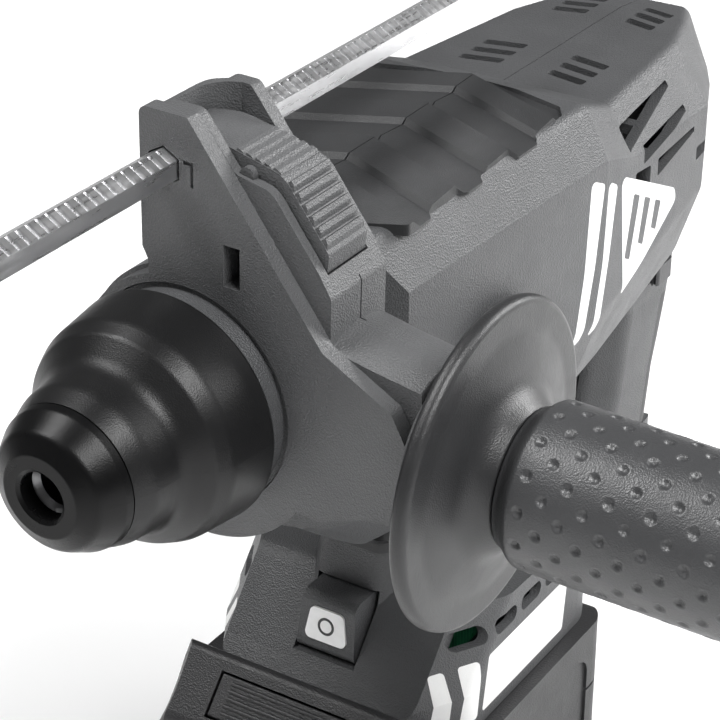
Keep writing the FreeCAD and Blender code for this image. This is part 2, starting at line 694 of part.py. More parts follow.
def top_pad():
    """One soft pad: a thin sheet with oblique raised bars."""
    sheet = prism(pad_outline(), level(PAD_FLOOR), Z * (TOP_Z - 1.6 - PAD_FLOOR))
    bars = []
    for start, end in ((81.0, 109.0), (114.0, 129.0), (139.0, 154.0), (163.0, 176.0)):
        profile = [(start, TOP_Z - 2.5, 0), (start + 2.5, TOP_Z - 0.3, 0), (end - 3.0, TOP_Z + 0.6, 0),
                   (end, TOP_Z - 1.7, 0), (end, TOP_Z - 2.5, 0)]
        bars.append(prism(profile, beside(0), point(36, -17, 0)))
    raised = fused(bars).common(prism(pad_outline(), level(PAD_FLOOR), Z * 20))
    return sheet.fuse(raised).removeSplitter()


def column_boot():
    """Ribbed boot between the gear case and the post."""
    layers = [(FLOOR_Z - 0.1, 13.6), (-61.6, 15.2), (-63.5, 13.2), (-66.0, 15.6), (-68.5, 13.5),
              (-71.0, 15.9), (-73.5, 13.9), (-75.9, 14.4)]
    wires = []
    for z, half in layers:
        corners = mirrored([(half * 0.6, 131 - half, 4.0), (half, 139 - half, 5.0),
                            (half, 124 + half, 5.0), (half * 0.6, 131 + half, 4.0)])
        wires.append(rounded_wire(corners, level(z)))
    save("column_boot", loft(wires).cut(block(-6, 6, 123, 138, -80, -50, 3)))


def housing():
    outer = fused([barrel(), base_block(), rear_grip(), front_column(), rails(121.0, 183.0)])
    inside = fused([barrel(SHELL_WALL), base_block(SHELL_WALL), rear_grip(SHELL_WALL + 0.4),
                    front_column(SHELL_WALL)])
    shell = outer.cut(inside).fuse(ribs())
    seam = block(-0.18, 0.18, 178.0, 285.0, 15.0, 45.0).cut(barrel(0.5))
    trims = side_inlays(1.2)
    base_trims = base_inlays()
    strip = grip_inlay()
    cutters = vent_cutters() + base_vents() + [strip]
    for piece in trims + base_trims:
        cutters += both_sides(piece)
    shell = shell.cut(Part.makeCompound(cutters))
    pads = fused(both_sides(top_pad())).cut(pad_seam()).Solids
    shell = shell.cut(fused([prism(pad_outline(), level(PAD_FLOOR), Z * 20),
                             prism(pad_outline(), level(PAD_FLOOR), Z * 20).mirror(ORIGIN, X)]))
    back_pad = grip_pad()
    shell = shell.cut(opening_cutters()).cut(back_pad).cut(seam).removeSplitter()
    halves = {"left": block(0, 90, 60, 300, -140, 60), "right": block(-90, 0, 60, 300, -140, 60)}
    for side, half in halves.items():
        solids = sorted(shell.common(half).Solids, key=lambda solid: solid.Volume)
        save("housing_" + side, solids[-1])
    save("top_pads", pads)
    save("side_inlays", [solid for piece in trims for solid in both_sides(piece)])
    save("base_inlays", [solid for piece in base_trims for solid in both_sides(piece)])
    save("grip_inlays", strip)
    save("grip_pad", back_pad)


def opening_cutters():
    """Trigger window, switch slot, mode selector seat, lamp seat and contact window."""
    trigger_window = block(-7.3, 7.3, 215, 245, -89.0, -52.5)
    lever_slot = block(-25, 25, 248.5, 259.5, -53.5, -46.5)
    knob_seat = rod_x(8.3, 30, 45, KNOB_Y, KNOB_Z)
    lamp_seat = block(-9.3, 9.3, 100, 119.4, -103.5, -86.3)
    contact = block(-22, 22, 100, 175, -125, -112)
    return Part.makeCompound([trigger_window, lever_slot, knob_seat, lamp_seat, contact])


def ribs():
    """Motor seats and the rear bearing seat that stand on the inside of the shells."""
    seats = []
    core = barrel(SHELL_WALL / 2)
    for y0, thick, bore in ((201.0, 3.0, 24.55), (230.0, 3.0, 24.55), (257.0, 5.0, 9.05)):
        plate = core.common(block(-50, 50, y0, y0 + thick, -70, 40))
        seats.append(plate.cut(rod_y(bore, y0 - 1, y0 + thick + 1, 0, MOTOR_Z)))
    return Part.makeCompound(seats)


# ---------------------------------------------------------------- controls
def mode_selector():
    """Turning knob on the left side, with the pin that moves the shift plate."""
    disc = turned_x([(40.0, 0), (40.0, 16.0), (43.0, 16.0, 0.8), (43.6, 13.5), (43.6, 0)],
                    KNOB_Y, KNOB_Z)
    bar = prism(plain([(KNOB_Y - 4.5, KNOB_Z - 15), (KNOB_Y + 4.5, KNOB_Z - 15),
                       (KNOB_Y + 3.0, KNOB_Z + 15), (KNOB_Y - 3.0, KNOB_Z + 15)], 2.4),
                beside(42.0), X * 5.5)
    stem = rod_x(8.0, 32.5, 41.0, KNOB_Y, KNOB_Z)
    pin = rod_x(2.0, 29.2, 33.0, KNOB_Y, KNOB_Z + KNOB_THROW)
    save("mode_selector", fused([disc, bar, stem, pin]))
    plate = block(29.4, 31.4, 109.0, 131.0, -17.0, 6.0)
    slot = block(28, 33, KNOB_Y - 2.8, KNOB_Y + 2.8, KNOB_Z - 3.0, KNOB_Z + 9.0)
    save("shift_plate", plate.cut(slot))


def trigger_group():
    finger = side_profile([(222.0, -55.5, 2.5), (246.0, -55.5, 1.0), (246.0, -86.0, 1.0),
                           (224.0, -86.0, 2.5), (228.5, -70.0, 16.0)], 6.9)
    save("trigger", finger)
    body = side_profile(plain([(253.0, -56.0), (266.0, -56.0), (262.0, -92.0), (249.5, -92.0),
                               (253.0, -86.0)], 1.0), 8.0)
    save("switch_module", body)
    bar = block(-20.5, 20.5, 249.0, 259.0, -53.0, -47.0, 1.5)
    grooves = [block(side * x - 0.4, side * x + 0.4, 248, 250, -54, -46)
               for side in (1, -1) for x in (18.2, 19.4)]
    save("direction_switch", bar.cut(Part.makeCompound(grooves)))


def electronics():
    tray = block(-24, 24, 118, 160, -109.0, -97.0, 3)
    board = block(-22, 22, 120, 158, -96.9, -95.3)
    save("control_board", [tray, board])
    block_body = block(-21.5, 21.5, 120.0, 174.0, -119.0, -111.0, 1)
    blades = [block(x - 0.4, x + 0.4, 128.0, 150.0, -125.6, -118.5)
              for x in (-15.0, -7.5, 0.0, 7.5, 15.0)]
    save("contact_block", fused([block_body] + blades))


def lamp():
    frame = side_profile([(106.0, -86.6, 3.0), (117.6, -86.9, 1.0), (117.6, -103.0, 1.0),
                          (103.6, -103.0, 2.0)], 12.0)
    taper = mirrored([(7.6, -80.0, 3.0), (9.0, -106.0, 3.0)])
    frame = frame.common(prism(taper, across(90), Y * 40))
    window = mirrored([(5.0, -89.6, 1.8), (6.6, -99.0, 1.8)])
    seat = prism(window, across(96.0), Y * 12.5)
    save("lamp_housing", frame.cut(seat))
    lens = prism(inset(window, 0.15), across(99.0), Y * 9.4)
    face = side_profile([(106.0, -83.0, 0), (120.0, -83.0, 0), (120.0, -104.0, 0),
                         (103.0, -104.0, 0)], 14.0)
    save("lamp_lens", lens.common(face))


def grip_pad():
    """Soft pad on the back of the rear grip, one wrap over both shells."""
    skin = rear_grip().cut(rear_grip(1.0))
    zone = side_profile([(262.0, -62.0, 3.0), (285.0, -62.0, 1.0), (270.0, -104.0, 1.0),
                         (248.5, -104.0, 3.0)], 30)
    return skin.common(zone).cut(grip_strip())


# ---------------------------------------------------------------- side handle
def cover_outline():
    """Front of the side-handle clamp, with the flat that runs out along the neck."""
    return [(-11.0, 66.0, 2.0), (1.4, 66.0, 1.0), (35.2, 21.6, 2.0), (52.3, 12.6, 3.0),
            (57.0, 4.0, 4.0), (57.0, -4.0, 4.0), (52.3, -13.0, 3.0), (35.2, -20.0, 2.0),
            (24.0, -20.0, 1.0), (24.0, 0.0, 1.0), (-9.5, 0.0, 0.5), (-9.5, 30.5, 0.5),
            (-11.0, 33.5, 1.0)]


def hex_bar(flats, y0, y1):
    corner = flats / math.sqrt(3)
    corners = [(ROD_X + corner * math.sin(math.radians(60 * i)),
                ROD_Z + corner * math.cos(math.radians(60 * i)), 0) for i in range(6)]
    return prism(corners, across(y0), Y * (y1 - y0))


def lever_profile():
    """Outline of the release lever: a flat tongue over the rod and a bent ribbed tail."""
    return [(-5.5, 60.8, 0.6), (8.0, 58.2, 4.0), (20.5, 55.4, 7.0), (32.0, 40.5, 0.8),
            (31.6, 36.0, 0.5), (28.6, 36.0, 0.5), (18.0, 50.0, 5.0), (8.0, 53.6, 3.0),
            (2.0, 55.8, 0.6), (1.6, 58.3, 0.5), (-5.5, 58.9, 0.6)]


def teeth_along(start, end, count, height):
    """Sawtooth ribs across the lever, along the line from start to end in (x, z)."""
    length = math.hypot(end[0] - start[0], end[1] - start[1])
    dx, dz = (end[0] - start[0]) / length, (end[1] - start[1]) / length
    pitch = length / count
    result = []
    for i in range(count):
        profile = []
        for along, out in ((0.02, -0.6), (0.12, 1.0), (0.55, 0.8), (0.95, 0.05), (0.95, -0.6)):
            run = (i + along) * pitch
            rise = out * height
            profile.append((start[0] + dx * run - dz * rise, start[1] + dz * run + dx * rise, 0))
        result.append(prism(profile, across(LEVER_FRONT + 0.3),
                            Y * (LEVER_BACK - LEVER_FRONT - 0.6)))
    return result


def lever_plan(margin=0.0):
    """Plan outline of the lever, rounded at the back of its tongue."""
    x0 = -5.5 - margin
    y1 = LEVER_BACK + margin
    corner = prism([(x0, 40.0, 0), (45.0, 40.0, 0), (45.0, y1, 0), (x0, y1, 9.0)],
                   level(0), Z * 90)
    return corner


def depth_lever():
    body = prism(lever_profile(), across(LEVER_FRONT), Y * (LEVER_BACK - LEVER_FRONT))
    steps = teeth_along((8.4, 58.0), (20.0, 55.4), 5, 0.7)
    steps += teeth_along((21.3, 54.2), (31.4, 41.2), 6, 1.15)
    pin = rod_y(1.8, LEVER_FRONT - 1.6, LEVER_BACK + 1.6, PIVOT_X, PIVOT_Z)
    solid = fused([body] + steps).common(lever_plan())
    save("depth_lever", solid.fuse(pin).removeSplitter(), True)


def lever_space():
    """Everything that the lever sweeps, with room to spare."""
    swept = []
    grown = inset(lever_profile(), -0.5)
    for angle in (0.0, 3.0, 6.0, 8.0):
        shape = prism(grown, across(LEVER_FRONT - 0.4), Y * (LEVER_BACK - LEVER_FRONT + 0.8))
        shape.rotate(point(PIVOT_X, 0, PIVOT_Z), Y, angle)
        swept.append(shape)
    pivot = rod_y(1.9, LEVER_FRONT - 1.8, LEVER_BACK + 1.8, PIVOT_X, PIVOT_Z)
    above = prism([(-6.9, 58.0, 0.0), (-6.9, 80.0, 0), (40.0, 80.0, 0), (40.0, 34.5, 0),
                   (33.0, 34.5, 0), (28.0, 44.0, 0), (20.0, 53.0, 0), (8.0, 56.0, 0),
                   (1.0, 58.0, 0)], across(LEVER_FRONT - 0.4),
                  Y * (LEVER_BACK - LEVER_FRONT + 0.8))
    return fused(swept + [above]).common(lever_plan(0.9)).fuse(pivot)


def clamp():
    front = prism(cover_outline(), across(COVER_FRONT), Y * (COVER_BACK - COVER_FRONT))
    front = fused([front, rod_y(28.8, COVER_FRONT, COVER_BACK),
                   rod_y(31.0, COVER_FRONT, COVER_BACK, 3.0, -3.0)])
    back = prism([(-11.0, 66.0, 5.0), (1.4, 66.0, 3.0), (10.5, 54.2, 3.0), (19.5, 52.6, 6.0),
                  (31.5, 37.0, 3.0), (34.5, 32.0, 2.0), (34.5, 0.0, 3.0), (-9.5, 0.0, 1.0),
                  (-9.5, 30.5, 0.5), (-11.0, 33.5, 1.0)],
                 across(COVER_BACK), Y * (CLAMP_BACK - COVER_BACK))
    hood_plan = [(-11.0, 50.0, 0.5), (40.0, 50.0, 0.5), (40.0, CLAMP_BACK, 0.5),
                 (-11.0, CLAMP_BACK, 17.0)]
    back = back.common(prism(hood_plan, level(-40), Z * 120))
    rear_wall = prism([(-6.0, 66.0, 3.0), (2.0, 66.0, 2.0), (13.5, 51.5, 2.0), (-6.0, 50.0, 1.0)],
                      across(LEVER_BACK + 0.4), Y * (CLAMP_BACK - LEVER_BACK - 0.4))
    band = rod_y(29.8, COVER_BACK, CLAMP_BACK).fuse(
        rod_y(31.5, COVER_BACK, CLAMP_BACK, 3.0, -3.0))
    neck = turned_x([(20.0, 0), (20.0, 23.4), (34.0, 23.0, 6.0), (44.0, 21.4, 6.0),
                     (NECK_END, 19.8, 0.6), (NECK_END, 0)], HANDLE_Y + 1.8)
    room = fused([block(0, SWEEP_R + 1.0, COVER_BACK, CLAMP_BACK, -40, 40),
                  block(SWEEP_R + 0.6, 60.0, COVER_BACK, 80.6, -40, 40)])
    neck = neck.common(room)
    body = fused([back, rear_wall, band, neck])
    bore = rod_y(COLLAR_R + CLEAR, 40, 100)
    bolt_hole = rod_x(4.3, 20, 60, HANDLE_Y, 0)
    head_seat = turned_x([(27.0, 0), (27.0, 8.2), (33.5, 8.2), (33.5, 0)])
    rod_hole = hex_bar(ROD_FLATS + 0.7, 40, 90)
    window = block(10.2, 14.4, 45, 72.0, 29.8, 39.6)
    seam = block(33.8, 36.0, 65.6, 66.0, 18.0, 40.0)
    space = lever_space()
    body = body.cut(Part.makeCompound([bore])).cut(bolt_hole).cut(head_seat).cut(rod_hole)
    body = body.cut(space).cut(window).cut(seam).cut(rod_y(30.0, CLAMP_BACK - 1.5, CLAMP_BACK + 2))
    front = front.cut(bore).cut(rod_hole).cut(window).cut(pointer_mark())
    save("clamp_body", body.removeSplitter(), True)
    save("clamp_cover", front.removeSplitter(), True)


def pointer_mark():
    """Small angled index mark beside the rod hole."""
    upright = block(2.0, 2.8, 49.0, 50.6, 50.4, 56.2)
    foot = block(0.2, 2.6, 49.0, 50.6, 55.2, 56.2)
    return upright.fuse(foot)


def depth_rod():
    bar = hex_bar(ROD_FLATS, ROD_FRONT, ROD_BACK)
    corner = ROD_FLATS / math.sqrt(3)
    notches = []
    count = int((ROD_BACK - ROD_FRONT) / ROD_PITCH) - 1
    for i in range(count):
        y0 = ROD_FRONT + ROD_PITCH * (i + 1)
        depth = 1.0
        notch = prism([(y0 - 0.9, 0.3, 0), (y0 + 0.9, 0.3, 0), (y0, -depth, 0)],
                      beside(-1.95), X * 3.9)
        notch.translate(Z * ROD_FLATS / 2)
        notch.rotate(ORIGIN, Y, 30)
        notch.translate(point(ROD_X, 0, ROD_Z))
        notches.append(notch)
    bar = bar.cut(Part.makeCompound(notches))
    tip = turned([(0, ROD_FRONT), (corner - 1.2, ROD_FRONT), (corner + 0.2, ROD_FRONT + 2.2),
                  (corner + 0.2, ROD_BACK), (0, ROD_BACK)])
    tip.translate(point(ROD_X, 0, ROD_Z))
    save("depth_rod", bar.common(tip), True)


def side_grip():
    hexagon = [(HANDLE_Y + 7.4 * math.cos(math.radians(60 * i)),
                7.4 * math.sin(math.radians(60 * i)), 0) for i in range(6)]
    bolt = prism(hexagon, beside(27.6), X * 5.2)
    bolt = bolt.fuse(rod_x(4.0, 32.0, 96.0, HANDLE_Y, 0)).removeSplitter()
    save("clamp_bolt", bolt, True)
    save("pressure_cone", turned_x([(57.4, 4.25), (57.4, 18.2, 0.8), (61.4, 17.6, 0.8),
                                    (61.4, 4.25)]), True)
    core = turned_x([(61.8, 4.1), (61.8, 16.5, 1.0), (64.0, 20.0, 3.0), (66.2, 30.0, 6.0),
                     (66.6, FLANGE_R, 1.8), (FLANGE_X, FLANGE_R, 1.8), (FLANGE_X + 0.3, 30.0, 8.0),
                     (73.6, 19.0, 8.0), (78.0, 15.2, 1.0), (78.0, 12.0), (182.0, 12.0),
                     (182.0, 0), (100.0, 0), (100.0, 4.1)])
    save("handle_core", core, True)
    grip = turned_x([(78.2, 12.2), (78.2, 15.4, 1.2), (82.0, GRIP_R, 5.0), (120.0, GRIP_R - 0.4, 60),
                     (150.0, GRIP_R - 0.8, 60), (176.0, GRIP_R + 0.6, 20), (GRIP_END, 17.0, 6.0),
                     (GRIP_END, 0), (182.3, 0), (182.3, 12.2)])
    save("side_grip", grip, True)


# ---------------------------------------------------------------- battery
def slope(along, depth):
    """(y, z) on the pack's sloped front: along runs down it, depth runs inwards."""
    return (94.0 - 0.682 * along + 0.731 * depth, -107.0 - 0.731 * along - 0.682 * depth)


def battery_outline(depth=0.0):
    y0 = BATTERY_FRONT
    if depth:
        plan = prism(inset(plain([(-BATTERY_W, y0), (BATTERY_W, y0), (BATTERY_W, BATTERY_BACK),
                                  (-BATTERY_W, BATTERY_BACK)], 9.0), depth), level(-180), Z * 100)
    else:
        wires = []
        for z, nose in ((-180.0, BATTERY_W - 3.0), (-128.0, BATTERY_W - 3.0), (-105.0, 26.0)):
            wires.append(rounded_wire(mirrored([(nose, y0, 3.0), (BATTERY_W, 132.0 - nose, 8.0),
                                                (BATTERY_W, BATTERY_BACK, 9.0)]), level(z)))
        plan = loft(wires)
    side = [(96.7, -107.0, 1.0), (94.0, -107.0, 2.0), (y0, -122.0, 7.0),
            (y0, BATTERY_BOTTOM, 5.0), (BATTERY_BACK, BATTERY_BOTTOM, 5.0),
            (BATTERY_BACK, PACK_TOP, 3.0), (96.7, PACK_TOP, 0.0)]
    if depth:
        side = [(BATTERY_FRONT + depth, -129.0, 5.0), (BATTERY_FRONT + depth,
                BATTERY_BOTTOM + depth, 3.0), (BATTERY_BACK - depth, BATTERY_BOTTOM + depth, 3.0),
                (BATTERY_BACK - depth, -129.0, 1.0)]
    return side_profile(side, 60).common(plan)


def rails(y0, y1, grow=0.0):
    """Two L-shaped rails that the pack hangs on."""
    web = block(23.4 - grow, 26.0 + grow, y0, y1, -125.0 - grow, -117.0)
    lip = block(25.0, 29.0 + grow, y0, y1, -125.0 - grow, -122.6 + grow)
    return fused(both_sides(web.fuse(lip)))


def battery():
    whole = battery_outline().cut(battery_outline(2.4))
    channel = block(-22.3, 22.3, 119.0, 200.0, -126.5, -110.0)
    groove = rails(118.0, 200.0, 0.4)
    pocket_side = plain([slope(3.4, -4), slope(3.4, 6), slope(16.2, 6), slope(16.2, -4)], 0.6)
    pocket = side_profile(pocket_side, 24.0)
    panels = [prism(plain([(100, -164), (172, -164), (172, -128), (100, -128)], 6.0),
                    beside(BATTERY_W - 0.8), X * 3)]
    seam = prism(plain([(-60, -140.4), (60, -140.4), (60, -139.6), (-60, -139.6)]), across(70),
                 Y * 130).cut(battery_outline().common(prism(inset(plain(
                     [(-BATTERY_W, BATTERY_FRONT), (BATTERY_W, BATTERY_FRONT),
                      (BATTERY_W, BATTERY_BACK), (-BATTERY_W, BATTERY_BACK)], 9.0), 0.8),
                     level(-180), Z * 100)))
    cutters = [channel, groove, pocket, seam] + both_sides(panels[0])
    whole = whole.cut(Part.makeCompound(cutters))
    upper = whole.common(block(-60, 60, 70, 200, -140.0, -100))
    lower = whole.common(block(-60, 60, 70, 200, -180, -140.0))
    save("battery_lid", upper)
    save("battery_case", lower)
    cells = []
    for row in (-160.4, -141.8):
        for i in range(5):
            y = (BATTERY_FRONT + BATTERY_BACK) / 2 + 18.6 * (i - 2)
            cells.append(rod_x(9.15, -32.5, 32.5, y, row))
    save("battery_cells", cells)
    clips = []
    for x in (-15.0, -7.5, 0.0, 7.5, 15.0):
        clips.append(block(x + 0.6, x + 1.2, 132, 146, -126.5, -121.0))
        clips.append(block(x - 1.2, x - 0.6, 132, 146, -126.5, -121.0))
    save("battery_contacts", clips)
    plate = plain([slope(3.9, 0.6), slope(3.9, 3.2), slope(15.7, 3.2), slope(15.7, 0.6)], 0.5)
    latch = side_profile(plate, 23.5)
    bars = []
    for i in range(5):
        y, z = slope(5.8 + 2.0 * i, 0.7)
        bars.append(rod_x(0.6, -20, 20, y, z))
    save("battery_latch", fused([latch] + bars))


PARTS = [dust_cap, tool_holder, locking_balls, locking_sleeve, ball_ring, sleeve_spring,
         spindle_gear, clutch_spring, impact_bolt, striker, piston, wobble_ring,
         intermediate_shaft, intermediate_gear, motor_shaft, rotor, fan, stator, bearings,
         gear_case, gear_case_screws, bearing_plates, housing, column_boot, mode_selector,
         trigger_group, electronics, lamp, depth_lever, clamp, depth_rod, side_grip, battery]
os.makedirs("parts", exist_ok=True)
for build in PARTS:
    build()
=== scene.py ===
import json
import math

import bpy
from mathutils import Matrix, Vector


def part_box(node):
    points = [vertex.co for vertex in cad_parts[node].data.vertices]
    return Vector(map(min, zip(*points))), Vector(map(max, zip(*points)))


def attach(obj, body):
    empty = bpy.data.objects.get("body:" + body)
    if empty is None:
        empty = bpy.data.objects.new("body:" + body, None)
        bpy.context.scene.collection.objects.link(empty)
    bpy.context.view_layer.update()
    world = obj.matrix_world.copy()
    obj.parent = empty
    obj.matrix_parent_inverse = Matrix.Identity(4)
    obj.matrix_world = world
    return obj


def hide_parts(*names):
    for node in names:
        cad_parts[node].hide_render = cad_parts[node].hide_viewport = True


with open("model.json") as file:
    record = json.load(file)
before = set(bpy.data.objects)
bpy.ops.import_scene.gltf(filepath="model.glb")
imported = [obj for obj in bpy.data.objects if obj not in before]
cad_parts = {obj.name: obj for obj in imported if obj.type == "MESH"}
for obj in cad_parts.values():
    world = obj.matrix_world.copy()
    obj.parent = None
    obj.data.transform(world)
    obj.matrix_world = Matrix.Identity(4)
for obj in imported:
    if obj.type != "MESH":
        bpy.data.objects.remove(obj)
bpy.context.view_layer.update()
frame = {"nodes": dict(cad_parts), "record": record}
NODES = frame["nodes"]
SCENE = bpy.context.scene

# The tool axis lies 172 mm over the floor, and the origin 132 mm behind the nose.
AXIS_HEIGHT = 0.172
NOSE_TO_ORIGIN = 0.132
HANDLE_Y = 62.7
HANDLE_TILT = math.radians(1.5)


def at(x, y, z):
    """A point given in mm from the nose, y backwards, in the row frame."""
    return Vector((x / 1000, y / 1000 - NOSE_TO_ORIGIN, z / 1000 + AXIS_HEIGHT))


def hung(x, y, z):
    """A point on the side handle, whose axis hangs a little below the horizontal."""
    c, s = math.cos(HANDLE_TILT), math.sin(HANDLE_TILT)
    return at(x * c + z * s, y, -x * s + z * c)


# ------------------------------------------------------------------ materials
class Shader:
    """A node tree being built for one material."""

    def __init__(self, name):
        self.material = bpy.data.materials.new(name)
        self.material.use_nodes = True
        self.tree = self.material.node_tree
        self.bsdf = next(n for n in self.tree.nodes if n.type == "BSDF_PRINCIPLED")
        self.coords = self.tree.nodes.new("ShaderNodeTexCoord").outputs["Object"]

    def node(self, kind, **settings):
        made = self.tree.nodes.new(kind)
        for key, value in settings.items():
            setattr(made, key, value)
        return made

    def link(self, source, target):
        self.tree.links.new(source, target)

    def set(self, socket, value):
        self.bsdf.inputs[socket].default_value = value

    def stretched(self, scale):
        mapping = self.node("ShaderNodeMapping")
        mapping.inputs["Scale"].default_value = scale
        self.link(self.coords, mapping.inputs["Vector"])
        return mapping.outputs["Vector"]

    def noise(self, scale, detail=3.0, rough=0.55, vector=None):
        made = self.node("ShaderNodeTexNoise")
        made.inputs["Scale"].default_value = scale
        made.inputs["Detail"].default_value = detail
        made.inputs["Roughness"].default_value = rough
        self.link(vector or self.coords, made.inputs["Vector"])
        return made.outputs["Fac"]

    def cells(self, scale, vector=None):
        made = self.node("ShaderNodeTexVoronoi")
        made.inputs["Scale"].default_value = scale
        self.link(vector or self.coords, made.inputs["Vector"])
        return made.outputs["Distance"]

    def ramp(self, fac, stops):
        made = self.node("ShaderNodeValToRGB")
        ramp = made.color_ramp
        while len(ramp.elements) < len(stops):
            ramp.elements.new(0.5)
        for element, (place, colour) in zip(ramp.elements, stops):
            element.position = place
            element.color = (*colour, 1.0)
        self.link(fac, made.inputs["Fac"])
        return made.outputs["Color"]

    def ranged(self, fac, low, high, start=0.3, end=0.7):
        made = self.node("ShaderNodeMapRange")
        made.inputs["From Min"].default_value = start
        made.inputs["From Max"].default_value = end
        made.inputs["To Min"].default_value = low
        made.inputs["To Max"].default_value = high
        self.link(fac, made.inputs["Value"])
        return made.outputs["Result"]

    def bump(self, height, strength, distance, onto=None):
        made = self.node("ShaderNodeBump")
        made.inputs["Strength"].default_value = strength
        made.inputs["Distance"].default_value = distance
        self.link(height, made.inputs["Height"])
        if onto is not None:
            self.link(onto, made.inputs["Normal"])
        return made.outputs["Normal"]


def shaded(colour, factor):
    return tuple(min(1.0, c * factor) for c in colour)


def moulded(name, colour, rough, grain, strength, gloss=0.5, patchy=0.12, dust=0.0):
    """Moulded plastic or rubber: spark texture, faint colour drift and handling marks."""
    shader = Shader(name)
    drift = shader.noise(38.0, 4.0)
    fine = shader.noise(grain * 0.55, 2.0)
    mixed = shader.node("ShaderNodeMath", operation="MULTIPLY_ADD")
    shader.link(fine, mixed.inputs[0])
    mixed.inputs[1].default_value = 0.45
    shader.link(drift, mixed.inputs[2])
    tint = shader.ramp(mixed.outputs["Value"], [
        (0.45, shaded(colour, 1 - patchy)), (0.72, colour), (1.0, shaded(colour, 1 + patchy + dust))])
    shader.link(tint, shader.bsdf.inputs["Base Color"])
    smears = shader.noise(95.0, 5.0, 0.62)
    shader.link(shader.ranged(smears, rough - 0.05, rough + 0.06), shader.bsdf.inputs["Roughness"])
    pits = shader.cells(grain)
    normal = shader.bump(pits, strength, 0.0002)
    shader.link(shader.bump(shader.noise(grain * 1.9, 2.0), strength * 0.6, 0.00006, normal),
                shader.bsdf.inputs["Normal"])
    shader.set("Specular IOR Level", gloss)
    return shader


def metal(name, colour, rough, streaks=(1, 1, 1), scale=420.0, strength=0.12, wear=0.12):
    """Machined or ground metal: fine marks along the way it was worked."""
    shader = Shader(name)
    shader.set("Metallic", 1.0)
    lines = shader.noise(scale, 4.0, 0.6, shader.stretched(streaks))
    stains = shader.noise(60.0, 4.0)
    shader.link(shader.ramp(stains, [(0.3, shaded(colour, 1 - wear)), (0.7, shaded(colour, 1 + wear))]),
                shader.bsdf.inputs["Base Color"])
    shader.link(shader.ranged(lines, rough - 0.06, rough + 0.1), shader.bsdf.inputs["Roughness"])
    shader.link(shader.bump(lines, strength, 0.00008), shader.bsdf.inputs["Normal"])
    return shader


def circuit_board():
    """Green solder mask over traces."""
    shader = Shader("board_green")
    traces = shader.node("ShaderNodeTexBrick")
    traces.inputs["Scale"].default_value = 160.0
    traces.inputs["Mortar Size"].default_value = 0.03
    traces.inputs["Color1"].default_value = (0.012, 0.11, 0.05, 1)
    traces.inputs["Color2"].default_value = (0.014, 0.14, 0.06, 1)
    traces.inputs["Mortar"].default_value = (0.05, 0.26, 0.12, 1)
    shader.link(shader.coords, traces.inputs["Vector"])
    shader.link(traces.outputs["Color"], shader.bsdf.inputs["Base Color"])
    shader.link(shader.bump(traces.outputs["Fac"], 0.4, 0.0001), shader.bsdf.inputs["Normal"])
    shader.link(shader.ranged(shader.noise(90.0), 0.25, 0.4), shader.bsdf.inputs["Roughness"])
    return shader


def winding(name, colour, scale):
    """Bundled wire, or stacked sheets."""
    shader = Shader(name)
    shader.set("Metallic", 1.0)
    wave = shader.node("ShaderNodeTexWave", bands_direction="Y")
    wave.inputs["Scale"].default_value = scale
    wave.inputs["Distortion"].default_value = 0.6
    shader.link(shader.coords, wave.inputs["Vector"])
    # The colour ramp darkens each band to 0.45 of the colour in the troughs of the bump: painted shade in
    # the grooves between the turns of wire and between the sheets.
    shader.link(shader.ramp(wave.outputs["Fac"], [(0.1, shaded(colour, 0.45)), (0.6, colour)]),
                shader.bsdf.inputs["Base Color"])
    shader.link(shader.bump(wave.outputs["Fac"], 0.6, 0.0002), shader.bsdf.inputs["Normal"])
    shader.link(shader.ranged(shader.noise(120.0), 0.28, 0.42), shader.bsdf.inputs["Roughness"])
    return shader


def frosted():
    """Milky lens of the lamp."""
    shader = Shader("lens")
    shader.set("Transmission Weight", 0.25)
    shader.set("IOR", 1.5)
    haze = shader.noise(420.0, 3.0)
    shader.link(shader.ramp(haze, [(0.3, (0.90, 0.90, 0.90)), (0.7, (0.97, 0.97, 0.97))]),
                shader.bsdf.inputs["Base Color"])
    shader.link(shader.ranged(haze, 0.12, 0.2), shader.bsdf.inputs["Roughness"])
    shader.link(shader.bump(shader.cells(1500.0), 0.06, 0.00005), shader.bsdf.inputs["Normal"])
    return shader


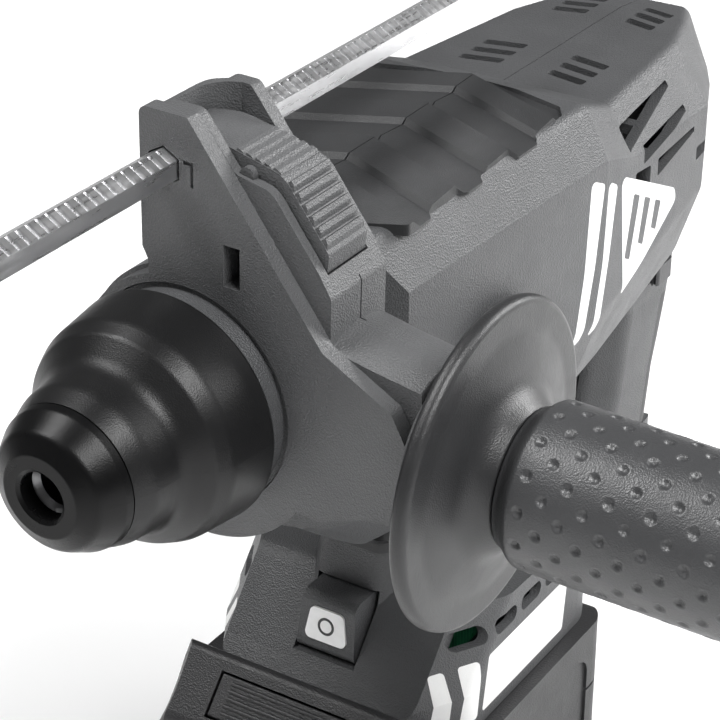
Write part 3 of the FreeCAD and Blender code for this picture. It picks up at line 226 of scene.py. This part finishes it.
LOOKS = {
    "housing_plastic": moulded("housing_plastic", (0.052, 0.053, 0.055), 0.44, 2300.0, 0.75, 0.5),
    "pad_rubber": moulded("pad_rubber", (0.024, 0.0245, 0.0255), 0.46, 3000.0, 0.28, 0.42, dust=0.05),
    "white_trim": moulded("white_trim", (0.66, 0.66, 0.655), 0.36, 3400.0, 0.08, 0.4, patchy=0.04),
    "screw_steel": metal("screw_steel", (0.16, 0.16, 0.165), 0.34, (1, 0.2, 1)),
    "plate_aluminium": metal("plate_aluminium", (0.62, 0.63, 0.64), 0.36),
    "bearing_steel": metal("bearing_steel", (0.66, 0.66, 0.67), 0.16, (1, 0.1, 1)),
    "bronze": metal("bronze", (0.62, 0.42, 0.20), 0.32),
    "lamination_steel": winding("lamination_steel", (0.32, 0.32, 0.33), 700.0),
    "copper_winding": winding("copper_winding", (0.65, 0.27, 0.12), 420.0),
    "black_plastic": moulded("black_plastic", (0.026, 0.026, 0.028), 0.40, 2600.0, 0.3, 0.5),
    "board_green": circuit_board(),
    "lens": frosted(),
    "tool_steel": metal("tool_steel", (0.20, 0.20, 0.205), 0.33, (1, 0.12, 1)),
    "spring_steel": metal("spring_steel", (0.36, 0.36, 0.37), 0.28),
    "piston_aluminium": metal("piston_aluminium", (0.66, 0.67, 0.68), 0.30, (1, 0.1, 1)),
    "seal_rubber": moulded("seal_rubber", (0.02, 0.02, 0.02), 0.5, 2600.0, 0.3, 0.4),
    "cap_plastic": moulded("cap_plastic", (0.0032, 0.0032, 0.0034), 0.30, 3300.0, 0.10, 0.16, patchy=0.25),
    "sleeve_plastic": moulded("sleeve_plastic", (0.0075, 0.0075, 0.0078), 0.36, 3000.0, 0.16, 0.24),
    "selector_plastic": moulded("selector_plastic", (0.036, 0.036, 0.038), 0.42, 2400.0, 0.4, 0.5),
    "clamp_plastic": moulded("clamp_plastic", (0.070, 0.071, 0.073), 0.44, 2300.0, 0.75, 0.5),
    "rod_steel": metal("rod_steel", (0.68, 0.68, 0.69), 0.30, (1, 0.08, 1), 900.0, 0.12, 0.08),
    "flange_plastic": moulded("flange_plastic", (0.016, 0.0162, 0.017), 0.38, 2900.0, 0.25, 0.42),
    "grip_rubber": moulded("grip_rubber", (0.036, 0.0365, 0.038), 0.37, 2700.0, 0.30, 0.55),
    "battery_plastic": moulded("battery_plastic", (0.016, 0.016, 0.017), 0.45, 2300.0, 0.45, 0.5),
    "cell_wrap": moulded("cell_wrap", (0.07, 0.16, 0.30), 0.25, 1800.0, 0.05, 0.5),
}


def wear(obj, material):
    obj.data.materials.clear()
    obj.data.materials.append(material)


for entry in frame["record"]["subparts"]:
    wear(NODES[entry["node"]], LOOKS[entry["material_slot"]].material)


# ------------------------------------------------------------------ pieces
def piece(name, slot, body, vertices, faces, smooth=True):
    mesh = bpy.data.meshes.new(name)
    mesh.from_pydata(vertices, [], faces)
    mesh.validate()
    mesh.update()
    obj = bpy.data.objects.new(name, mesh)
    SCENE.collection.objects.link(obj)
    if smooth:
        mesh.polygons.foreach_set("use_smooth", [True] * len(mesh.polygons))
    wear(obj, LOOKS[slot].material)
    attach(obj, body)
    return obj


def spline(knots, x):
    """Radius at x, eased between (x, radius) knots."""
    for (xa, ra), (xb, rb) in zip(knots, knots[1:]):
        if x <= xb:
            t = (x - xa) / (xb - xa)
            return ra + (rb - ra) * t * t * (3 - 2 * t)
    return knots[-1][1]


GRIP_START = 78.3
GRIP_SIDE = 186.0
GRIP_KNOTS = [(GRIP_START, 15.6), (83.0, 18.4), (120.0, 18.1), (150.0, 17.7), (177.0, 19.0),
              (184.0, 18.5), (GRIP_SIDE, 17.2)]
DIMPLE_R = 1.40
DIMPLE_DEPTH = 0.60
DIMPLE_RINGS = 21
DIMPLE_PITCH = 4.55
DIMPLES_ROUND = 15
FIRST_RING = 85.2
RIB_ANGLE = math.radians(-112)
GRIP_AROUND = 336
GRIP_ALONG = 330
# Rounded end of the grip: how far in and how far out each closing ring lies.
GRIP_CLOSING = ((1.1, 0.9), (2.8, 1.6), (6.0, 2.0), (11.0, 1.75), (14.5, 1.75))


def dimple(distance):
    """Height change at that distance from a dimple's middle: a round pit with a soft rim."""
    t = distance / DIMPLE_R
    if t < 1.0:
        return -DIMPLE_DEPTH * (1 - t * t) ** 1.5 + 0.07 * t ** 4
    if t < 1.5:
        return 0.07 * ((1.5 - t) / 0.5) ** 2
    return 0.0


def grip_radius(x, angle):
    radius = spline(GRIP_KNOTS, x)
    ring = round((x - FIRST_RING) / DIMPLE_PITCH)
    lift = 0.0
    for near in (ring - 1, ring, ring + 1):
        if 0 <= near < DIMPLE_RINGS:
            along = x - FIRST_RING - near * DIMPLE_PITCH
            step = 2 * math.pi / DIMPLES_ROUND
            turn = (angle + (near % 2) * step / 2 + step / 2) % step - step / 2
            lift += dimple(math.hypot(along, turn * radius))
    seam = abs((angle - RIB_ANGLE + math.pi) % (2 * math.pi) - math.pi) * radius
    if seam < 1.0:
        lift = lift * 0.2 + 0.35 * (1 - seam) ** 0.5 * min(1.0, (x - GRIP_START) / 8)
    return radius + lift


def side_grip():
    around, along = GRIP_AROUND, GRIP_ALONG
    rows = []
    for i in range(along + 1):
        x = GRIP_START + (GRIP_SIDE - GRIP_START) * i / along
        rows.append([(x, grip_radius(x, 2 * math.pi * j / around)) for j in range(around)])
    for inward, forward in GRIP_CLOSING:
        rows.append([(GRIP_SIDE + forward, 17.2 - inward)] * around)
    rows.insert(0, [(GRIP_START, 12.4)] * around)
    rows.insert(1, [(GRIP_START - 0.05, 14.6)] * around)
    vertices, faces = [], []
    for row in rows:
        for j, (x, radius) in enumerate(row):
            angle = 2 * math.pi * j / around
            vertices.append(hung(x, HANDLE_Y + radius * math.cos(angle), radius * math.sin(angle)))
    for i in range(len(rows) - 1):
        for j in range(around):
            a, b = i * around + j, i * around + (j + 1) % around
            faces.append((a, b, b + around, a + around))
    last = (len(rows) - 1) * around
    faces.append(tuple(last + j for j in range(around)))
    grip = piece("side_grip_rubber", "grip_rubber", "handle", vertices, faces)
    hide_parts("side_grip")


side_grip()


LENS_SLOPE = 3.0 / 21.0
RING_RADIUS = 0.0021
RING_THICKNESS = 0.00038


def diode_ring():
    """Plain closed ring moulded into the front of the lamp lens."""
    low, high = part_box("lamp_lens")
    middle_z = (low[2] + high[2]) / 2
    front_y = low[1] + LENS_SLOPE * (high[2] - low[2]) / 2
    around, turns = 12, 48
    vertices, faces = [], []
    for i in range(turns):
        sweep = 2 * math.pi * i / turns
        for j in range(around):
            roll = 2 * math.pi * j / around
            reach = RING_RADIUS + RING_THICKNESS * math.cos(roll)
            sink = LENS_SLOPE * reach * math.sin(sweep) - 0.5 * RING_THICKNESS * math.sin(roll)
            vertices.append(Vector((reach * math.cos(sweep), front_y + sink,
                                    middle_z + reach * math.sin(sweep))))
    for i in range(turns):
        for j in range(around):
            a, b = i * around + j, i * around + (j + 1) % around
            c, d = (i + 1) % turns * around + (j + 1) % around, (i + 1) % turns * around + j
            faces.append((a, b, c, d))
    piece("lamp_diode_ring", "black_plastic", "housing", vertices, faces)


diode_ring()


# ------------------------------------------------------------------ stage
def stage():
    bpy.ops.mesh.primitive_plane_add(size=6, location=(0, 0, 0))
    floor = bpy.context.object
    floor.name = "studio_floor"
    paper = Shader("studio_paper")
    drift = paper.noise(3.0, 2.0)
    paper.link(paper.ramp(drift, [(0.3, (0.90, 0.90, 0.90)), (0.7, (0.93, 0.93, 0.93))]),
               paper.bsdf.inputs["Base Color"])
    paper.set("Roughness", 0.75)
    wear(floor, paper.material)


def softbox(name, place, target, width, height, power):
    light = bpy.data.lights.new(name, "AREA")
    light.shape = "RECTANGLE"
    light.size, light.size_y = width, height
    light.energy = power
    obj = bpy.data.objects.new(name, light)
    SCENE.collection.objects.link(obj)
    obj.location = place
    obj.rotation_mode = "QUATERNION"
    obj.rotation_quaternion = (Vector(target) - Vector(place)).to_track_quat("-Z", "Y")


def lights():
    world = bpy.data.worlds.new("studio")
    SCENE.world = world
    world.use_nodes = True
    tree = world.node_tree
    background = next(n for n in tree.nodes if n.type == "BACKGROUND")
    background.inputs["Strength"].default_value = 1.0
    way = tree.nodes.new("ShaderNodeTexCoord")
    split = tree.nodes.new("ShaderNodeSeparateXYZ")
    sky = tree.nodes.new("ShaderNodeValToRGB")
    tree.links.new(way.outputs["Generated"], split.inputs["Vector"])
    tree.links.new(split.outputs["Z"], sky.inputs["Fac"])
    tree.links.new(sky.outputs["Color"], background.inputs["Color"])
    sky.color_ramp.elements[0].position = 0.05
    sky.color_ramp.elements[0].color = (0.16, 0.16, 0.16, 1)
    sky.color_ramp.elements[1].position = 0.42
    sky.color_ramp.elements[1].color = (0.13, 0.13, 0.13, 1)
    aim = Vector((0.0, -0.02, 0.16))
    for name, way, distance, width, height, power in (
            ("key_high", (0.60, -0.22, 0.77), 1.05, 0.45, 0.45, 15.0),
            ("fill_front_left", (-0.45, -0.45, 0.77), 1.1, 0.25, 0.25, 3.5),
            ("sheen_behind", (0.50, 0.74, 0.36), 1.4, 0.9, 0.6, 22.0),
            ("strip_over", (-0.45, -0.22, 0.86), 1.2, 0.25, 0.50, 9.0)):
        softbox(name, aim + Vector(way).normalized() * distance, aim, width, height, power)


CAMERA_PLACE = (0.26494, -0.42756, 0.41810)
CAMERA_WAY = (-0.471, 0.740, -0.480)
FOCAL_LENGTH = 114.1
SENSOR_WIDTH = 36.0


def camera():
    lens = bpy.data.cameras.new("camera")
    lens.lens = FOCAL_LENGTH
    lens.sensor_width = SENSOR_WIDTH
    lens.clip_start = 0.01
    obj = bpy.data.objects.new("camera", lens)
    SCENE.collection.objects.link(obj)
    obj.location = CAMERA_PLACE
    obj.rotation_mode = "QUATERNION"
    obj.rotation_quaternion = Vector(CAMERA_WAY).to_track_quat("-Z", "Y")
    SCENE.camera = obj


stage()
lights()
camera()
SCENE.view_settings.view_transform = "Standard"
